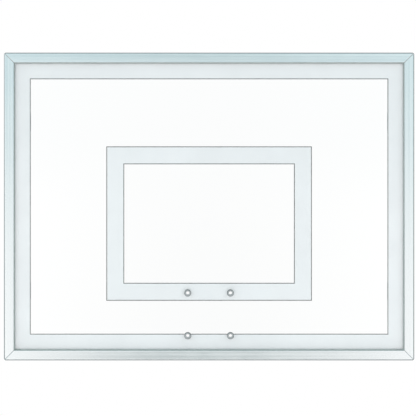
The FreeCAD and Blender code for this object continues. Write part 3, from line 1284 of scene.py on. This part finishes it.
@dataclass(frozen=True)
class ToneZone(StudioSpot):
    """Soft area of the studio with a tone of its own.

    Its reach across and up is on a sphere of radius 1, and it holds its full tone over the inner share.
    """

    across: float
    up: float
    colour: Colour
    hold: float = 0.0

    @property
    def per_reach(self) -> Vector:
        """Factors that make the zone's reach one long each way."""
        return Vector((1 / self.across, 1 / max(self.across, self.up), 1 / self.up))


@dataclass
class Studio:
    """Pale floor, soft light from all round, broad lamps and a camera square to the board."""

    floor_drop: float = 0.5
    floor_reach: float = 2.0
    floor_fade: float = 0.7
    floor_steps: int = 96
    floor_colour: Colour = (0.80, 0.80, 0.80)
    lens: float = 120.0
    sensor: float = 36.0
    image_pixels: float = 416.0
    board_pixels: float = 410.7
    board_middle_pixels: tuple[float, float] = (209.1, 206.5)
    backdrop: Colour = (1.0, 1.0, 1.0)
    room: Colour = (0.22, 0.25, 0.26)
    zones: tuple[ToneZone, ...] = (
        # Low pale cards on both sides, and a broad one on the left
        ToneZone(-105, -26, 0.6, 0.38, (0.66, 0.69, 0.70), 0.4),
        ToneZone(105, -26, 0.6, 0.38, (0.66, 0.69, 0.70), 0.4),
        ToneZone(-75, 15, 0.85, 0.42, (0.75, 0.79, 0.81), 0.3),
        # White backdrop behind the board, cooler in its middle
        ToneZone(180, 0, 1.0, 0.8, (1.10, 1.10, 1.10), 0.3),
        ToneZone(180, 8, 0.5, 0.3, (0.50, 0.66, 0.70)),
        # Glow in front, cool light above it and the gap in the glow where the camera stands
        ToneZone(0, -8, 0.75, 0.70, (1.35, 1.31, 1.31), 0.35),
        ToneZone(0, 40, 1.2, 0.67, (0.70, 0.86, 0.90), 0.9),
        ToneZone(0, -6, 0.18, 0.38, (0.30, 0.37, 0.37)),
        # Dark ceiling, which reaches down in front
        ToneZone(0, 60, 1.3, 0.50, (0.24, 0.28, 0.29), 0.5),
        ToneZone(0, 90, 1.4, 0.70, (0.26, 0.30, 0.31), 0.3),
    )
    lamps: tuple[SoftLamp, ...] = (
        SoftLamp(0, -4, 30, 0.32, "front_lamp"),
        SoftLamp(-35, -4, 30, 0.06, "front_left_lamp"),
        SoftLamp(35, -4, 30, 0.06, "front_right_lamp"),
        SoftLamp(180, 20, 50, 0.35, "back_lamp"),
        SoftLamp(0, 90, 20, 0.45, "top_lamp"),
    )

    def floor_material(self) -> Material:
        """Makes the floor's plain pale surface, which fades out towards its edge.

        Returns:
            The material.
        """
        material = bpy.data.materials.new("pale_floor")
        material.use_nodes = True
        nodes = Nodes(material.node_tree)
        surface = nodes.add("BsdfDiffuse", {"Color": (*self.floor_colour, 1.0)}).outputs["BSDF"]
        clear = nodes.add("BsdfTransparent").outputs["BSDF"]
        offset = nodes.vector("MULTIPLY", nodes.add("TexCoord").outputs["Object"], LEVEL_MASK)
        fade = nodes.span(nodes.length(offset), (self.floor_fade, self.floor_reach))
        both = nodes.add("MixShader", {0: fade, 1: surface, 2: clear})
        nodes.add("OutputMaterial", {"Surface": both.outputs["Shader"]})
        return material

    def build_floor(self) -> None:
        """Makes the floor below the board."""
        bm = bmesh.new()
        level = Box.of("bottom_rail").low.z - self.floor_drop
        bmesh.ops.create_circle(bm, cap_ends=True, segments=self.floor_steps, radius=self.floor_reach,
                                matrix=Matrix.Translation((0, 0, level)))
        floor = place_mesh(bm, "floor")
        floor.data.materials.append(self.floor_material())
        # Metal mirrors the studio's tones alone, so the frame's lower edge keeps its dark line.
        floor.visible_glossy = False
        floor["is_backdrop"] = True

    def build_world(self) -> None:
        """Makes the light all round: white where it is seen, a soft studio where it lights or mirrors."""
        world = bpy.data.worlds.new("studio")
        bpy.context.scene.world = world
        world.use_nodes = True
        nodes = Nodes(world.node_tree)
        direction = nodes.add("TexCoord").outputs["Generated"]
        colour: Socket | Colour = self.room
        for zone in self.zones:
            offset = nodes.vector("SUBTRACT", direction, zone.direction)
            distance = nodes.length(nodes.vector("MULTIPLY", offset, zone.per_reach))
            colour = nodes.mix(nodes.span(distance, (zone.hold, 1.0), (1.0, 0.0)), colour, zone.colour)
        path = nodes.add("LightPath").outputs
        seen = nodes.math("MAXIMUM", path["Is Camera Ray"], path["Is Transmission Ray"])
        shown = nodes.mix(seen, colour, self.backdrop)
        sky = nodes.add("Background", {"Color": shown, "Strength": 1.0})
        nodes.add("OutputWorld", {"Surface": sky.outputs["Background"]})

    def build_camera(self) -> None:
        """Sets the camera square to the board, which fills the picture as in the photograph."""
        pixel = 2 * board_half()[0] / self.board_pixels
        distance = self.image_pixels * pixel * self.lens / self.sensor
        column, row = self.board_middle_pixels
        data = bpy.data.cameras.new("camera")
        data.lens = self.lens
        data.sensor_width = self.sensor
        camera = bpy.data.objects.new("camera", data)
        camera.location = ((self.image_pixels / 2 - column) * pixel, Box.of("left_rail").low.y - distance,
                           (row - self.image_pixels / 2) * pixel)
        camera.rotation_euler = (math.radians(90), 0, 0)
        bpy.context.scene.collection.objects.link(camera)
        bpy.context.scene.camera = camera

    def build(self) -> None:
        """Makes the floor, the light and the camera."""
        bpy.context.scene.view_settings.view_transform = "Standard"
        self.build_floor()
        self.build_world()
        for lamp in self.lamps:
            lamp.build()
        self.build_camera()


def main() -> None:
    """Builds and dresses the board, then the studio round it."""
    logging.basicConfig(level=logging.INFO, format="%(name)s: %(message)s")
    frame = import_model()
    nodes = frame["nodes"]
    sleeves = RimSleeves()
    glazing = Glazing(sleeves.sleeve_radius)
    for part in (RailFrame(nodes), glazing, Markings(), sleeves, CornerScrews(), SupportLugs(nodes)):
        part.build()
        part.dress()
        log.info("built %s", type(part).__name__)
    Studio().build()
    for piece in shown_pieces():
        log.info("piece %s: %d faces", piece.name, len(piece.data.polygons))


if __name__ == "__main__":
    main()
